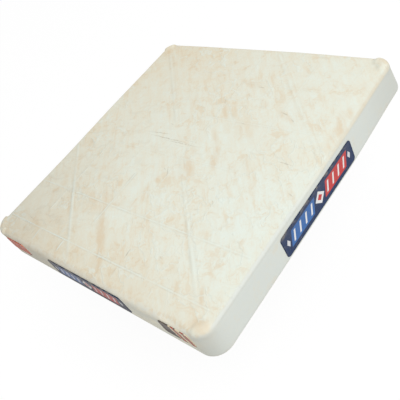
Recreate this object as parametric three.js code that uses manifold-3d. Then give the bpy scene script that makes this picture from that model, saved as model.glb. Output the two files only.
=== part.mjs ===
// A baseball base of the bolt-down kind, in millimetres, +Z up.
//
// A white rubber slab is moulded round a steel plate. Its underside is a waffle of drafted cells, its top has
// low ridges and a raised lip round each corner. A flange with a square post is bolted up into the plate, and
// the post drops into a sleeve in the ground. Printed patches and corner decals are stuck on two of the sides.
//
// The origin is at the middle of the post's lower end. Front is -Y and right is +X.

import * as THREE from 'three';
import { mergeVertices } from 'three/addons/utils/BufferGeometryUtils.js';
import Module from 'manifold-3d';

const wasm = await Module();
wasm.setup();

// Rubber slab
const SIDE = 457.2;
const HEIGHT = 50.8;
const CORNER_R = 25.4;
const EDGE_R = 8;
const RIM_R = 3;
const WALL = 12;
const SKIN = 12;

// Waffle of the underside
const CELLS = 12;
const RIB = 5;
const DRAFT = 1.2;
const HUB_WALL = 6;

// Raised lip that follows each upright corner round, with blunt ends
const LIP_R = 7.5;
const LIP_RISE = 4;
const LIP_OUT = 0.3;
const LIP_OVERRUN = 1.5;

// Ridges of the top; lines are placed in waffle pitches from the middle
const LINE_WIDTH = 3;
const LINE_RISE = 0.6;
const DIAGONAL_WIDTH = 4.5;
const DIAGONAL_RISE = 1;
const RIDGE_CREST = 0.4;
const RIDGE_SINK = 1;
const RIDGE_EDGE_GAP = 4;
const LINES = [
  { at: 5.1, from: -6, to: 6 },
  { at: 3.15, from: -6, to: 6 },
  { at: 0.35, from: -3.9, to: 5.2 },
  { at: -1.85, from: -6, to: 0.2 },
  { at: -3.9, from: -4.3, to: -0.3 },
];
const OUTER_DIAGONAL = 6.67;
const MAIN_DIAGONAL = [
  { from: -5.2, to: -1.3 },
  { from: 0.4, to: 5.2 },
];

// Moulded-in plate, bolted flange and post
const FLANGE = 127;
const FLANGE_T = 6.4;
const INSERT_OVERHANG = 6.5;
const INSERT_T = 4.8;
const PLATE_CORNER_R = 10;
const WEB = 6;
const POST = 25.4;
const POST_WALL = 3.2;
const POST_CORNER_R = 3;
const POST_BORE_R = 1.5;
const POST_LENGTH = 165;
const POST_LEAD = 4;
const POST_TAPER = 1;
const WELD_LEG = 5;
const WELD_TOE = 1;

// M8 bolts with their washers and weld nuts
const BOLT_INSET = 16;
const BOLT_R = 4;
const HEAD_FLATS = 13;
const HEAD_T = 5.3;
const NUT_FLATS = 13;
const NUT_T = 6.5;
const WASHER_R = 8.5;
const WASHER_T = 1.6;
const LOCK_R = 7;
const LOCK_T = 2.1;
const LOCK_SPLIT = 2;
const BOLT_TIP = 1.5;
const HEAD_CLEARANCE = 1.5;

// Printed patches and corner decals of the sides
const PATCH_LENGTH = 166;
const PATCH_WIDTH = 35;
const PATCH_CORNER_R = 5;
const PATCH_T = 0.8;
const DECAL_LENGTH = 52;
const DECAL_WIDTH = 26;
const DECAL_CORNER_R = 5;
const DECAL_T = 0.6;
const DECAL_INSET = 52;
const FRONT_PATCH_LIFT = 2.6;
const RIGHT_PATCH_LIFT = -0.5;
const DECAL_LIFT = 6.7;

// Clearances
const FIT = 0.3;
const HOLE_CLEARANCE = 0.6;
const OVERCUT = 1;

// Places that follow from the sizes
const HALF = SIDE / 2;
const PITCH = SIDE / CELLS;
const INSERT = FLANGE + 2 * INSERT_OVERHANG;
const FLANGE_Z = HEAD_CLEARANCE + HEAD_T + LOCK_T + WASHER_T;
const FLANGE_TOP = FLANGE_Z + FLANGE_T;
const INSERT_Z = FLANGE_TOP + WEB;
const INSERT_TOP = INSERT_Z + INSERT_T;
const BOLT_TOP = INSERT_TOP + NUT_T + BOLT_TIP;
const POST_DROP = POST_LENGTH - FLANGE_Z;
const FLAT_REACH = HALF - EDGE_R - RIDGE_EDGE_GAP;
const SIDE_MIDDLE = (RIM_R + HEIGHT - EDGE_R) / 2;
const SMALL_STEPS = 4;
const ROUND_STEPS = 8;
const LIP_SIDES = 16;
const CIRCLE_SIDES = 20;

// Colours, roughness and metalness
const FINISH = {
  rubber: { color: 0xe3e0d3, roughness: 0.75, metalness: 0 },
  plate: { color: 0x5c5f63, roughness: 0.5, metalness: 0.9 },
  post: { color: 0x8d9094, roughness: 0.4, metalness: 0.9 },
  weld: { color: 0x6b6862, roughness: 0.6, metalness: 0.8 },
  fastener: { color: 0xb9bcc0, roughness: 0.35, metalness: 0.95 },
  navy: { color: 0x1e2a4d, roughness: 0.45, metalness: 0 },
  red: { color: 0xb0473c, roughness: 0.5, metalness: 0 },
  brown: { color: 0x4a352b, roughness: 0.5, metalness: 0 },
};

// A closed solid from a three.js geometry
function solidOf(geometry) {
  const bare = geometry.clone();
  bare.deleteAttribute('normal');
  bare.deleteAttribute('uv');
  const merged = mergeVertices(bare, 1e-4);
  const vertProperties = Float32Array.from(merged.attributes.position.array);
  const triVerts = Uint32Array.from(merged.index.array);
  return new wasm.Manifold(new wasm.Mesh({ numProp: 3, vertProperties, triVerts }));
}

// A three.js geometry from a solid
function geometryOf(solid) {
  const mesh = solid.getMesh();
  const geometry = new THREE.BufferGeometry();
  geometry.setAttribute('position', new THREE.BufferAttribute(Float32Array.from(mesh.vertProperties), 3));
  geometry.setIndex(new THREE.BufferAttribute(Uint32Array.from(mesh.triVerts), 1));
  geometry.computeVertexNormals();
  return geometry;
}

// Points of a square ring with round corners, anticlockwise from above
function squareRing(half, radius, z, steps = ROUND_STEPS) {
  const points = [];
  const centre = half - radius;
  for (let corner = 0; corner < 4; corner += 1) {
    const start = (corner * Math.PI) / 2;
    const middle = start + Math.PI / 4;
    const cx = centre * Math.SQRT2 * Math.cos(middle);
    const cy = centre * Math.SQRT2 * Math.sin(middle);
    for (let step = 0; step <= steps; step += 1) {
      const angle = start + (step / steps) * (Math.PI / 2);
      points.push(new THREE.Vector3(cx + radius * Math.cos(angle), cy + radius * Math.sin(angle), z));
    }
  }
  return points;
}

// A closed body skinned over rings of equal count, the lowest first
function loft(rings) {
  const count = rings[0].length;
  const positions = rings.flat().flatMap((point) => [point.x, point.y, point.z]);
  const index = [];
  for (let level = 0; level + 1 < rings.length; level += 1) {
    for (let i = 0; i < count; i += 1) {
      const a = level * count + i;
      const b = level * count + ((i + 1) % count);
      index.push(a, b, b + count, a, b + count, a + count);
    }
  }
  const top = (rings.length - 1) * count;
  for (let i = 1; i + 1 < count; i += 1) {
    index.push(0, i + 1, i);
    index.push(top, top + i, top + i + 1);
  }
  const geometry = new THREE.BufferGeometry();
  geometry.setAttribute('position', new THREE.Float32BufferAttribute(positions, 3));
  geometry.setIndex(index);
  return geometry;
}

// A rectangle with round corners, as a shape to extrude
function roundedRectangle(length, width, radius) {
  const shape = new THREE.Shape();
  const x = length / 2 - radius;
  const y = width / 2 - radius;
  shape.absarc(x, y, radius, 0, Math.PI / 2);
  shape.absarc(-x, y, radius, Math.PI / 2, Math.PI);
  shape.absarc(-x, -y, radius, Math.PI, 1.5 * Math.PI);
  shape.absarc(x, -y, radius, 1.5 * Math.PI, 2 * Math.PI);
  shape.closePath();
  return shape;
}

// A flat plate from z = 0 upwards
function extruded(shape, thickness, curveSegments = SMALL_STEPS) {
  return new THREE.ExtrudeGeometry(shape, { depth: thickness, bevelEnabled: false, curveSegments });
}

// An upright cylinder between two heights
function upright(radius, low, high) {
  const geometry = new THREE.CylinderGeometry(radius, radius, high - low, CIRCLE_SIDES);
  return geometry.rotateX(Math.PI / 2).translate(0, 0, (low + high) / 2);
}

// A hexagon across its flats
function hexagon(flats) {
  const shape = new THREE.Shape();
  const radius = flats / Math.sqrt(3);
  for (let i = 0; i < 6; i += 1) {
    const angle = (i * Math.PI) / 3;
    const point = [radius * Math.cos(angle), radius * Math.sin(angle)];
    if (i === 0) shape.moveTo(...point);
    else shape.lineTo(...point);
  }
  shape.closePath();
  return shape;
}

function circleHole(shape, x, y, radius) {
  const hole = new THREE.Path();
  hole.absarc(x, y, radius, 0, 2 * Math.PI, true);
  shape.holes.push(hole);
}

// The four places of the flange's bolts
function boltPlaces() {
  const reach = FLANGE / 2 - BOLT_INSET;
  return [
    [reach, reach],
    [-reach, reach],
    [-reach, -reach],
    [reach, -reach],
  ];
}

// Outside of the slab: small round at the rim, rolled edge at the top
function slabBody() {
  const rings = [];
  for (let step = 0; step <= SMALL_STEPS; step += 1) {
    const angle = (step / SMALL_STEPS) * (Math.PI / 2);
    const inset = RIM_R * (1 - Math.sin(angle));
    rings.push(squareRing(HALF - inset, CORNER_R - inset, RIM_R * (1 - Math.cos(angle))));
  }
  for (let step = 0; step <= ROUND_STEPS; step += 1) {
    const angle = (step / ROUND_STEPS) * (Math.PI / 2);
    const inset = EDGE_R * (1 - Math.cos(angle));
    const z = HEIGHT - EDGE_R * (1 - Math.sin(angle));
    rings.push(squareRing(HALF - inset, CORNER_R - inset, z));
  }
  return solidOf(loft(rings));
}

// The lip of the corner towards +X and +Y: a ring round the corner's own axis, cut to the corner
function cornerLip() {
  const axis = HALF - CORNER_R;
  const reach = CORNER_R + LIP_OUT;
  const ring = new THREE.TorusGeometry(reach - LIP_R, LIP_R, LIP_SIDES, 4 * ROUND_STEPS);
  const boxSide = reach + LIP_OVERRUN + OVERCUT;
  const boxMiddle = boxSide / 2 - LIP_OVERRUN;
  const box = new THREE.BoxGeometry(boxSide, boxSide, 2 * (LIP_R + OVERCUT)).translate(boxMiddle, boxMiddle, 0);
  const lip = geometryOf(solidOf(ring).intersect(solidOf(box)));
  return lip.translate(axis, axis, HEIGHT + LIP_RISE - LIP_R);
}

// A low ridge on the top between two points
function ridge(x0, y0, x1, y1, width, rise) {
  const length = Math.hypot(x1 - x0, y1 - y0);
  const crest = (RIDGE_CREST * width) / 2;
  const section = new THREE.Shape();
  section.moveTo(-width / 2, -RIDGE_SINK);
  section.lineTo(width / 2, -RIDGE_SINK);
  section.lineTo(width / 2, 0);
  section.lineTo(crest, rise);
  section.lineTo(-crest, rise);
  section.lineTo(-width / 2, 0);
  section.closePath();
  const geometry = extruded(section, length);
  geometry.rotateX(Math.PI / 2).rotateZ(Math.PI);
  geometry.rotateZ(Math.atan2(y1 - y0, x1 - x0) - Math.PI / 2);
  return solidOf(geometry.translate(x0, y0, HEIGHT));
}

// Lines along X and Y mirror each other in the main diagonal, and all stop short of the rolled edge
function topRidges() {
  const clamp = (value) => Math.min(FLAT_REACH, Math.max(-FLAT_REACH, value * PITCH));
  const ridges = [];
  for (const { at, from, to } of LINES) {
    const line = at * PITCH;
    ridges.push(ridge(line, clamp(from), line, clamp(to), LINE_WIDTH, LINE_RISE));
    ridges.push(ridge(clamp(-to), -line, clamp(-from), -line, LINE_WIDTH, LINE_RISE));
  }
  for (const { from, to } of MAIN_DIAGONAL) {
    const [start, end] = [from * PITCH, to * PITCH];
    ridges.push(ridge(start, -start, end, -end, DIAGONAL_WIDTH, DIAGONAL_RISE));
  }
  for (const turn of [-1, 1]) {
    const near = turn * (OUTER_DIAGONAL * PITCH - FLAT_REACH);
    const far = turn * FLAT_REACH;
    ridges.push(ridge(near, far, far, near, DIAGONAL_WIDTH, DIAGONAL_RISE));
  }
  return wasm.Manifold.union(ridges);
}

// The drafted cells of the underside, inside the wall; the middle stays solid as a hub round the steel
function waffleCells() {
  const depth = HEIGHT - SKIN;
  const mouth = PITCH - RIB;
  const ceiling = mouth - 2 * DRAFT;
  const hub = INSERT / 2 + HUB_WALL;
  const cells = [];
  for (let i = 0; i < CELLS; i += 1) {
    for (let j = 0; j < CELLS; j += 1) {
      const x = (i + 0.5) * PITCH - HALF;
      const y = (j + 0.5) * PITCH - HALF;
      if (Math.max(Math.abs(x), Math.abs(y)) - mouth / 2 < hub) continue;
      const [topR, bottomR] = [ceiling / Math.SQRT2, mouth / Math.SQRT2];
      const cell = new THREE.CylinderGeometry(topR, bottomR, depth + OVERCUT, 4);
      cell.rotateY(Math.PI / 4).rotateX(Math.PI / 2);
      cells.push(solidOf(cell.translate(x, y, (depth - OVERCUT) / 2)));
    }
  }
  const inside = [-OVERCUT, HEIGHT].map((z) => squareRing(HALF - WALL, CORNER_R - WALL, z, SMALL_STEPS));
  return wasm.Manifold.union(cells).intersect(solidOf(loft(inside)));
}

// Room in the hub for the plate, the flange, the bolts and their nuts
function hubPockets() {
  const insertHalf = INSERT / 2 + FIT;
  const flangeHalf = FLANGE / 2 + FIT;
  const insert = [INSERT_Z, INSERT_TOP].map((z) => squareRing(insertHalf, PLATE_CORNER_R, z, SMALL_STEPS));
  const flange = [-OVERCUT, FLANGE_TOP].map((z) => squareRing(flangeHalf, PLATE_CORNER_R, z, SMALL_STEPS));
  let pockets = solidOf(loft(insert)).add(solidOf(loft(flange)));
  for (const [x, y] of boltPlaces()) {
    const hole = upright(BOLT_R + HOLE_CLEARANCE, 0, INSERT_TOP).translate(x, y, 0);
    const nutR = NUT_FLATS / Math.sqrt(3) + HOLE_CLEARANCE;
    const nutRoom = upright(nutR, INSERT_Z, BOLT_TOP + HOLE_CLEARANCE).translate(x, y, 0);
    pockets = pockets.add(solidOf(hole)).add(solidOf(nutRoom));
  }
  return pockets;
}

// The rubber: slab, ridges and lips, less the waffle and the hub's pockets
function cover() {
  let body = slabBody().add(topRidges());
  for (let corner = 0; corner < 4; corner += 1) {
    body = body.add(solidOf(cornerLip().rotateZ((corner * Math.PI) / 2)));
  }
  return geometryOf(body.subtract(waffleCells()).subtract(hubPockets()));
}

// A square plate with a hole for each bolt
function boltedPlate(size, thickness) {
  const shape = roundedRectangle(size, size, PLATE_CORNER_R);
  for (const [x, y] of boltPlaces()) circleHole(shape, x, y, BOLT_R + HOLE_CLEARANCE);
  return extruded(shape, thickness, SMALL_STEPS + 1);
}

// Square tube with a tapered lead at its lower end; z = 0 is that end
function post() {
  const half = POST / 2;
  const outside = loft([
    squareRing(half - POST_TAPER, POST_CORNER_R, 0, SMALL_STEPS),
    squareRing(half, POST_CORNER_R, POST_LEAD, SMALL_STEPS),
    squareRing(half, POST_CORNER_R, POST_LENGTH, SMALL_STEPS),
  ]);
  const boreHalf = half - POST_WALL;
  const boreEnds = [-OVERCUT, POST_LENGTH + OVERCUT];
  const bore = boreEnds.map((z) => squareRing(boreHalf, POST_BORE_R, z, SMALL_STEPS));
  return geometryOf(solidOf(outside).subtract(solidOf(loft(bore))));
}

// Fillet weld round the post, hanging from z = 0
function weld() {
  const half = POST / 2 + FIT;
  const bead = loft([
    squareRing(half + WELD_TOE, POST_CORNER_R + WELD_TOE, -WELD_LEG, SMALL_STEPS),
    squareRing(half + WELD_LEG, POST_CORNER_R + WELD_LEG, 0, SMALL_STEPS),
  ]);
  const room = [-WELD_LEG - OVERCUT, OVERCUT].map((z) => squareRing(half, POST_CORNER_R, z, SMALL_STEPS));
  return geometryOf(solidOf(bead).subtract(solidOf(loft(room))));
}

// Hexagon head from z = 0 to HEAD_T, then the shank
function bolt() {
  const head = solidOf(extruded(hexagon(HEAD_FLATS), HEAD_T));
  const shank = solidOf(upright(BOLT_R, HEAD_T - OVERCUT, BOLT_TOP - HEAD_CLEARANCE));
  return geometryOf(head.add(shank));
}

function flatWasher() {
  const shape = new THREE.Shape();
  shape.absarc(0, 0, WASHER_R, 0, 2 * Math.PI);
  circleHole(shape, 0, 0, BOLT_R + FIT);
  return extruded(shape, WASHER_T, ROUND_STEPS);
}

// Spring washer: a ring with one split
function lockWasher() {
  const shape = new THREE.Shape();
  const inner = BOLT_R + FIT;
  const split = LOCK_SPLIT / 2 / inner;
  shape.absarc(0, 0, LOCK_R, split, 2 * Math.PI - split, false);
  shape.absarc(0, 0, inner, 2 * Math.PI - split, split, true);
  shape.closePath();
  return extruded(shape, LOCK_T, ROUND_STEPS);
}

function nut() {
  const shape = hexagon(NUT_FLATS);
  circleHole(shape, 0, 0, BOLT_R + FIT);
  return extruded(shape, NUT_T, ROUND_STEPS);
}

// A printed label standing on its long edge, with its back on y = 0 and its face towards -Y
function label(length, width, radius, thickness) {
  return extruded(roundedRectangle(length, width, radius), thickness).rotateX(Math.PI / 2);
}

// Assembly: the base group stands with its underside at z = 0 and is lifted by what the post drops
const base = new THREE.Group();
base.position.z = POST_DROP;

function place(name, geometry, finish, x, y, z, turn = 0) {
  const mesh = new THREE.Mesh(geometry, new THREE.MeshStandardMaterial(FINISH[finish]));
  mesh.name = name;
  mesh.position.set(x, y, z);
  mesh.rotation.z = turn;
  base.add(mesh);
}

place('base_cover', cover(), 'rubber', 0, 0, 0);
place('insert_plate', boltedPlate(INSERT, INSERT_T), 'plate', 0, 0, INSERT_Z);
place('flange_plate', boltedPlate(FLANGE, FLANGE_T), 'plate', 0, 0, FLANGE_Z);
place('stanchion_post', post(), 'post', 0, 0, -POST_DROP);
place('post_weld', weld(), 'weld', 0, 0, FLANGE_Z);

boltPlaces().forEach(([x, y], i) => {
  place(`flange_bolt_${i + 1}`, bolt(), 'fastener', x, y, HEAD_CLEARANCE);
  place(`lock_washer_${i + 1}`, lockWasher(), 'fastener', x, y, HEAD_CLEARANCE + HEAD_T);
  place(`flat_washer_${i + 1}`, flatWasher(), 'fastener', x, y, FLANGE_Z - WASHER_T);
  place(`weld_nut_${i + 1}`, nut(), 'fastener', x, y, INSERT_TOP);
});

const decalX = HALF - DECAL_INSET;
const patch = () => label(PATCH_LENGTH, PATCH_WIDTH, PATCH_CORNER_R, PATCH_T);
const decal = () => label(DECAL_LENGTH, DECAL_WIDTH, DECAL_CORNER_R, DECAL_T);
place('side_patch_front', patch(), 'navy', 0, -HALF, SIDE_MIDDLE + FRONT_PATCH_LIFT);
place('side_patch_right', patch(), 'navy', HALF, 0, SIDE_MIDDLE + RIGHT_PATCH_LIFT, Math.PI / 2);
place('corner_decal_left', decal(), 'red', -decalX, -HALF, SIDE_MIDDLE + DECAL_LIFT);
place('corner_decal_right', decal(), 'brown', decalX, -HALF, SIDE_MIDDLE + DECAL_LIFT);

const group = new THREE.Group();
group.add(base);

export default group;
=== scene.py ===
"""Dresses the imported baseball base.

Makes the worn rubber cover, the steel mount, the fasteners, the printed labels and a white studio.
"""

import math

import bmesh
import bpy
from mathutils import Matrix, Vector, noise


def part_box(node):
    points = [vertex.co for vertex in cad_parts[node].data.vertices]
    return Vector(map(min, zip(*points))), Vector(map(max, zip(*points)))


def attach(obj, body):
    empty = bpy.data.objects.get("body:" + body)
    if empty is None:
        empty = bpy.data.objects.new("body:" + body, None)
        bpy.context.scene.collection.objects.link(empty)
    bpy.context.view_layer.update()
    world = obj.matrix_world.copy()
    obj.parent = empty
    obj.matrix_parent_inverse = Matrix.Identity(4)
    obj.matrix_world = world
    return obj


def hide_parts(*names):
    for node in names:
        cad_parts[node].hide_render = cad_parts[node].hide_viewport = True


bl_info = {
    "name": "Baseball Base",
    "version": (1, 0, 0),
    "blender": (4, 5, 0),
    "location": "3D View > Sidebar > Base",
    "description": "Builds a bolt-down baseball base with its steel mount, labels and studio",
    "category": "Add Mesh",
}

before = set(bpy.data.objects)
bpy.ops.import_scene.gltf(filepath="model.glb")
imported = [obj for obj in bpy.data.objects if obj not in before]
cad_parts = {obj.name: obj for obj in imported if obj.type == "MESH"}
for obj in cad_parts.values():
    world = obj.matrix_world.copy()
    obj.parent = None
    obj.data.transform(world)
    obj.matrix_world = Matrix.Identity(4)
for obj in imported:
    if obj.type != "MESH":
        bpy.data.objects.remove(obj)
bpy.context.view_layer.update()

MM = 0.001
BODY = "root"
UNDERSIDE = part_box("base_cover")[0].z / MM
SHARP_ANGLE = math.radians(38)
WHITE = (1, 1, 1, 1)

# Corners of the slab, as signs of X and Y, anticlockwise from the back right
CORNERS = ((1, 1), (-1, 1), (-1, -1), (1, -1))

# Rubber slab, in millimetres from the middle of its underside
HALF = 228.6
HEIGHT = 50.8
CORNER_R = 25.4
RIM_R = 3
WALL = 12
SKIN = 12
PITCH = 38.1
GRID_STEP = 2.1
CORNER_STEPS = 18
FLAT_STEPS = 7
EDGE_STEPS = 9
SIDE_STEPS = 14
RIM_STEPS = 4

# Worn radius of the edge on the right, back, left and front sides
EDGE_RADII = (3.5, 8, 9, 10)

# Raised lip of each corner: its radius, the share of its rise that wear has left, how softly it meets
# the top, and where it starts and reaches that rise, measured in from its ends
LIP_OUT = 0.3
LIP_BLEND = 1.2
LIP_FOOT = 2.5
LIP_FOOT_SHADE = 0.4
LIPS = {
    (1, 1): (7.5, 0.85, 9, -5, 4),
    (-1, 1): (7.5, 0.65, 1.5, 4, 8),
    (-1, -1): (7.5, 0.65, 1.2, -2.5, 0),
    (1, -1): (7.5, 0.1, 8, 0, 6),
}

# Ridges of the top
LINE_WIDTH = 3
DIAGONAL_WIDTH = 5.5
TICK_WIDTH = 4
RIDGE_CREST = 0.4
RIDGE_END = 4
FLAT_REACH = 216.6

# Lines in waffle pitches from the middle: place and ends, and the share of their rise left each way
LINES = ((5.1, -6, 6), (3.15, -6, 6), (0.35, -3.9, 5.2), (-1.85, -6, 0.2), (-3.9, -4.3, -0.3))
ACROSS_SHARES = (1, 0.7, 0.3, 0.3, 0.25)
ALONG_SHARES = (0.15, 0.25, 0.3, 0.25, 0.6)

# Diagonals in waffle pitches: reach of the outer two with their shares, and ends and share of the main one
OUTER_DIAGONAL = 6.67
OUTER_SHARES = {-1: 1, 1: 0.4}
MAIN_DIAGONAL = ((-5.2, -1.3, 0.4), (0.4, 2.6, 0.45), (2.6, 5.2, 0.85))

# Short ridges: place along X, both ends along Y and share
TICKS = ((-132, -214, -197, 1.5), (-69, -214, -197, 1), (55, -214, -197, 1), (-44, -169, -59, 0.8))

# Wear of the ridges: what is left in the middle, how much less on the right, and its mean and swing
RIDGE_KEPT = 1.15
RIDGE_LEAN = 0.4
RIDGE_MEAN = 0.7
RIDGE_SWING = 0.6
RIDGE_WEAR = 31

# Where a ridge is marked as crest and as foot, in widths from its middle. The crest is painted paler,
# partly worn rubber and partly a painted highlight; the foot darker, partly dirt and partly painted shade
CREST_MARK = (0.5, 0.15)
FOOT_START = (0.3, 0.6)
FOOT_END = (1, 0.65)

# Waves of the rubber, and how far in from the front, down and in from the corners the front edge is rubbed
WAVE_LENGTH = 85
DENT_LENGTH = 24
DENT_SHARE = 0.35
DENT_SEED = 7
SIDE_WAVE_SHARE = 0.35
FRONT_WEAR = 2
FRONT_WEAR_INWARD = (30, 6)
FRONT_WEAR_DOWN = (24, 6)
FRONT_WEAR_CLEAR = (26, 70)

# How far use has drawn the back left part of the slab, and three corners at their foot and at their top
PULL_BACK_LEFT = (5.2, 2.6, 0)
PULLS = {
    (1, 1): ((-5.5, 10, 0), (-3.2, -3.8, 0)),
    (-1, 1): ((2, -1, 0), (2, -1, 0)),
    (-1, -1): ((4, 0, 0), (-2.2, 0.3, 0)),
}
PULL_START = 60

# Waffle of the underside
CELLS = 12
RIB = 5
DRAFT = 1.2
CELL_R = 2.5
CELL_CHAMFER = 0.6
CELL_ROUND = 1
HUB_WALL = 6

# Steel mount
FLANGE = 127
FLANGE_Z = 10.5
FLANGE_T = 6.4
INSERT = 140
INSERT_Z = 22.9
INSERT_T = 4.8
PLATE_CORNER_R = 10
PLATE_STEPS = 8
POST = 25.4
POST_WALL = 3.2
POST_CORNER_R = 3
POST_BORE_R = 1.5
POST_LEAD = 4
POST_TAPER = 1
POST_STEPS = 6
WELD_LEG = 5
WELD_TOE = 0.6
WELD_CORNER_STEPS = 10
WELD_STEPS = 26
WELD_ROWS = 10
WELD_RIPPLE_STEPS = 3
WELD_RIPPLE_LAG = 0.8
WELD_BULGE = 0.35
WELD_RIPPLE = 0.4
WELD_ROUGH = 0.15
WELD_ROUGH_SIZE = 4
FIT = 0.3

# Fasteners
BOLT_REACH = 47.5
BOLT_R = 4
BOLT_TOP = 35.7
HEAD_Z = 1.5
HEAD_T = 5.3
HEAD_DISH = (2.6, 3.2)
HEX_FLATS = 13
HEX_CHAMFER = 0.94
HEX_SLOPE = math.radians(30)
NUT_T = 6.5
WASHER_R = 8.5
WASHER_T = 1.6
LOCK_R = 7
LOCK_T = 2.1
LOCK_SPLIT = 0.25
LOCK_SLANT = 0.16
THREAD_START = 18
THREAD_STEPS = 4
THREAD_DEPTH = 0.45
THREAD_FADE = 2
BOLT_POINT = 1
BOLT_POINT_INSET = 0.3
HOLE_CLEARANCE = 0.6
TURN_STEPS = 36

# Labels of the sides: length, width, corner radius and thickness, and then their places and make
PATCH = (166, 35, 5, 0.8)
DECAL = (52, 26, 5, 0.6)
DECAL_REACH = 176.6
FRONT_PATCH_Z = 25.5
RIGHT_PATCH_Z = 22.4
DECAL_Z = 29.6
FRONT_DUST = 0.28
RIGHT_DUST = 0.05
LABEL_STEPS = 6
LABEL_SINK = 0.4
LABEL_ROUND = 0.25
LABEL_RIM = 1.5
LABEL_RIM_SLOPE = 0.4
LABEL_DIP = 0.15

# Print of the patches, from their middle
PRINT_SOFT = 0.3
BAR_HALF = 10.6
BAR_START = 13.3
BAR_END = 66.3
BAR_SLANT = 0.4
SLASH_START = 13
SLASH_PITCH = 13.25
SLASH_MIDDLE = 6.6
SLASH_HALF = 1.65
SLASH_SOFT = 0.25
SLASH_REACH = 7.3
DIAMOND = (10.5, 10.5)
HEART = (5.2, 5.2)
STUD = (3.4, 6)
STUD_AT = 73
PATCH_BORDER = 1.2
WEAVE = (0.9, 0.7)

# Print of the decals, from the join of their grounds
DECAL_SWAY = 8
DECAL_SLANT = 0.3
STRIPE_PITCH = 15
STRIPE_MIDDLE = 8
STRIPE_HALF = 2.4
STRIPE_LINE = 3.4
STRIPE_LINE_HALF = 0.8
STRIPE_SOFT = 0.2
LEFT_JOIN = -26
RIGHT_JOIN = -4

# Streaks of the finishes: their turn in degrees and their sizes in millimetres
LONG_RUB = (-48, (75, 9, 60))
THIN_RUB = (-50, (30, 2.6, 60))
CROSS_RUB = (8, (40, 9, 60))
HAIR = (-50, (30, 1.1, 40))
FOLD = (-35, (46, 26, 60))
WIPE = (0, (60, 60, 7))
MILL_SCALE = (0, (30, 3, 3))
TUBE_DRAW = (0, (2, 2, 60))
LATHE_MARKS = (0, (3, 3, 0.25))

# Size of the zinc's flakes in millimetres, and what its straw tint leaves of red, green and blue
SPANGLE = 6.25
ZINC_STRAW = (1, 0.94, 0.78)

# How far each grain of the rubber shifts its age from the mean
AGE_MEAN = 0.36
AGE_SHIFTS = {"broad": 0.6, "patchy": 0.8, "mottle": 0.4, "fine": 0.3, "long_rub": 0.7, "thin_rub": 0.4}

# Where the clay marks cut from each grain start and are full, and how strongly they show
CLAY_MARKS = {
    "long_rub": (0.53, 0.66, 0.2),
    "patchy": (0.56, 0.67, 0.24),
    "thin_rub": (0.56, 0.7, 0.14),
    "cross_rub": (0.57, 0.7, 0.24),
    "mottle": (0.56, 0.7, 0.26),
}

# How strongly the other marks of the rubber show
SMEAR_SHARE = 0.44
CREST_SHARE = 0.8
WRINKLE_SHARE = 0.6
POWDER_SHARE = 0.85
FOOT_SHARE = 0.24
SCUFF_SHARE = 0.46
HAIR_SHARE = 0.3

# Tan smears of the top: start, end, half width and strength
SMEARS = (
    (-78, -98, -38, -140, 13, 1.2),
    (-44, -130, 8, -190, 14, 1.2),
    (0, -180, 30, -222, 11, 1.2),
    (-6, -74, 10, -102, 6, 0.8),
    (1, -57, 9, -61, 6, 1.0),
    (-10, -113, 6, -108, 5, 0.6),
    (24, 54, 60, 20, 8, 0.6),
    (58, 22, 80, -18, 10, 1.1),
    (18, 98, 36, 76, 10, 1.1),
    (24, 150, 50, 142, 10, 0.8),
    (66, 138, 84, 126, 7, 0.7),
    (78, 116, 90, 102, 8, 0.6),
    (60, 76, 94, 36, 8, 0.7),
    (112, 104, 154, 82, 9, 1.0),
    (104, 192, 118, 180, 8, 0.7),
    (26, -12, 56, -40, 14, 0.9),
    (6, 30, 14, 22, 6, 0.8),
    (16, 14, 30, 0, 8, 0.8),
    (108, 24, 142, -18, 9, 0.5),
    (-56, 112, -34, 72, 9, 0.6),
    (-66, 176, -54, 138, 8, 0.5),
    (-100, -8, -88, -18, 7, 0.7),
    (-140, -18, -130, -28, 8, 0.6),
    (-92, -66, -74, -74, 7, 0.6),
    (-150, -92, -138, -98, 8, 0.5),
    (184, -172, 200, -198, 6, 0.8),
    (30, -128, 42, -140, 6, 0.7),
    (58, -134, 78, -144, 9, 0.5),
    (98, -158, 110, -168, 7, 0.6),
    (120, 154, 148, 146, 10, 0.5),
    (204, 176, 222, 152, 9, 0.6),
    (206, 64, 226, 40, 9, 0.5),
    (213, 130, 222, 40, 13, 1.0),
    (206, 116, 222, 84, 12, 1.0),
    (204, -20, 226, -36, 7, 0.7),
    (214, -88, 226, -112, 9, 0.5),
    (90, -210, 104, -224, 7, 0.6),
    (-76, -196, -66, -224, 8, 0.8),
    (-196, -180, -130, -196, 9, 0.7),
    (-200, 196, -206, 208, 16, 0.8),
    (-208, 130, -212, 60, 10, 0.4),
    (50, 80, 110, 40, 50, 0.4),
)

# Tan of the corner lips, given in the same way
LIP_MARKS = (
    (203, -213, 221, -215, 14, 1.0),
    (204, 222, 224, 212, 9, 0.8),
    (-222, 212, -206, 222, 9, 0.5),
    (-224, -208, -212, -222, 8, 0.6),
)

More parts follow.
